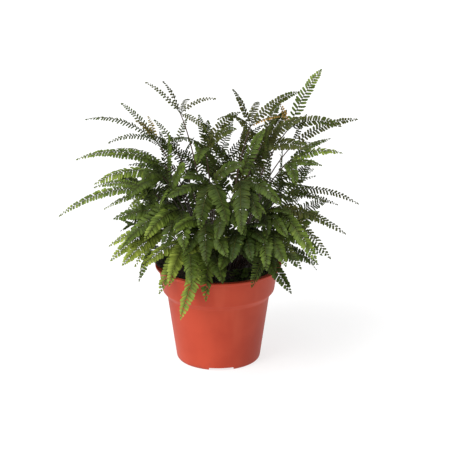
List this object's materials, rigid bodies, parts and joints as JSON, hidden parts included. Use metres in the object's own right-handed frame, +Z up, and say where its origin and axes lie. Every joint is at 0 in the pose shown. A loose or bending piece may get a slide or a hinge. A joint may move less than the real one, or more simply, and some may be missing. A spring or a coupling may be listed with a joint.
{
  "type": "potted fern",
  "caption": "Maidenhair fern with forked fronds of arching leaflets, growing from a rhizome in a soil-filled tapered nursery pot.",
  "frame": {"origin": "middle of the pot's base, on the surface it stands on", "axes": "+Z up along the pot's axis, +X to the right and -Y towards the viewer in the front view"},
  "size_m": [0.2799, 0.2106, 0.2775],
  "materials": {
    "pot_plastic": "terracotta-coloured moulded plastic with a soft sheen",
    "soil": "dark damp peat; fabric stands in for it as the nearest soft, light material",
    "stem": "dark wiry stems and scaly rhizome",
    "frond": "thin leaf blades, a little leathery; leather stands in for leaf"
  },
  "bodies": {
    "root": {"pot": "pot_plastic", "soil": "soil", "rhizome_stems": "stem", "frond_01": "frond", "frond_02": "frond", "frond_03": "frond", "frond_04": "frond", "frond_05": "frond", "frond_06": "frond", "frond_07": "frond", "frond_08": "frond", "frond_09": "frond", "frond_10": "frond", "frond_11": "frond", "frond_12": "frond", "frond_13": "frond", "frond_14": "frond", "frond_15": "frond", "frond_16": "frond", "frond_17": "frond", "frond_18": "frond", "frond_19": "frond", "frond_20": "frond", "frond_21": "frond", "frond_22": "frond", "frond_23": "frond", "frond_24": "frond", "frond_25": "frond", "frond_26": "frond", "frond_27": "frond", "frond_28": "frond", "frond_29": "frond", "frond_30": "frond", "frond_31": "frond", "frond_32": "frond", "frond_33": "frond", "frond_34": "frond", "frond_35": "frond", "frond_36": "frond", "frond_37": "frond", "frond_38": "frond", "frond_39": "frond", "frond_40": "frond", "frond_41": "frond", "frond_42": "frond", "frond_43": "frond", "frond_44": "frond", "frond_45": "frond"}
  },
  "joints": []
}
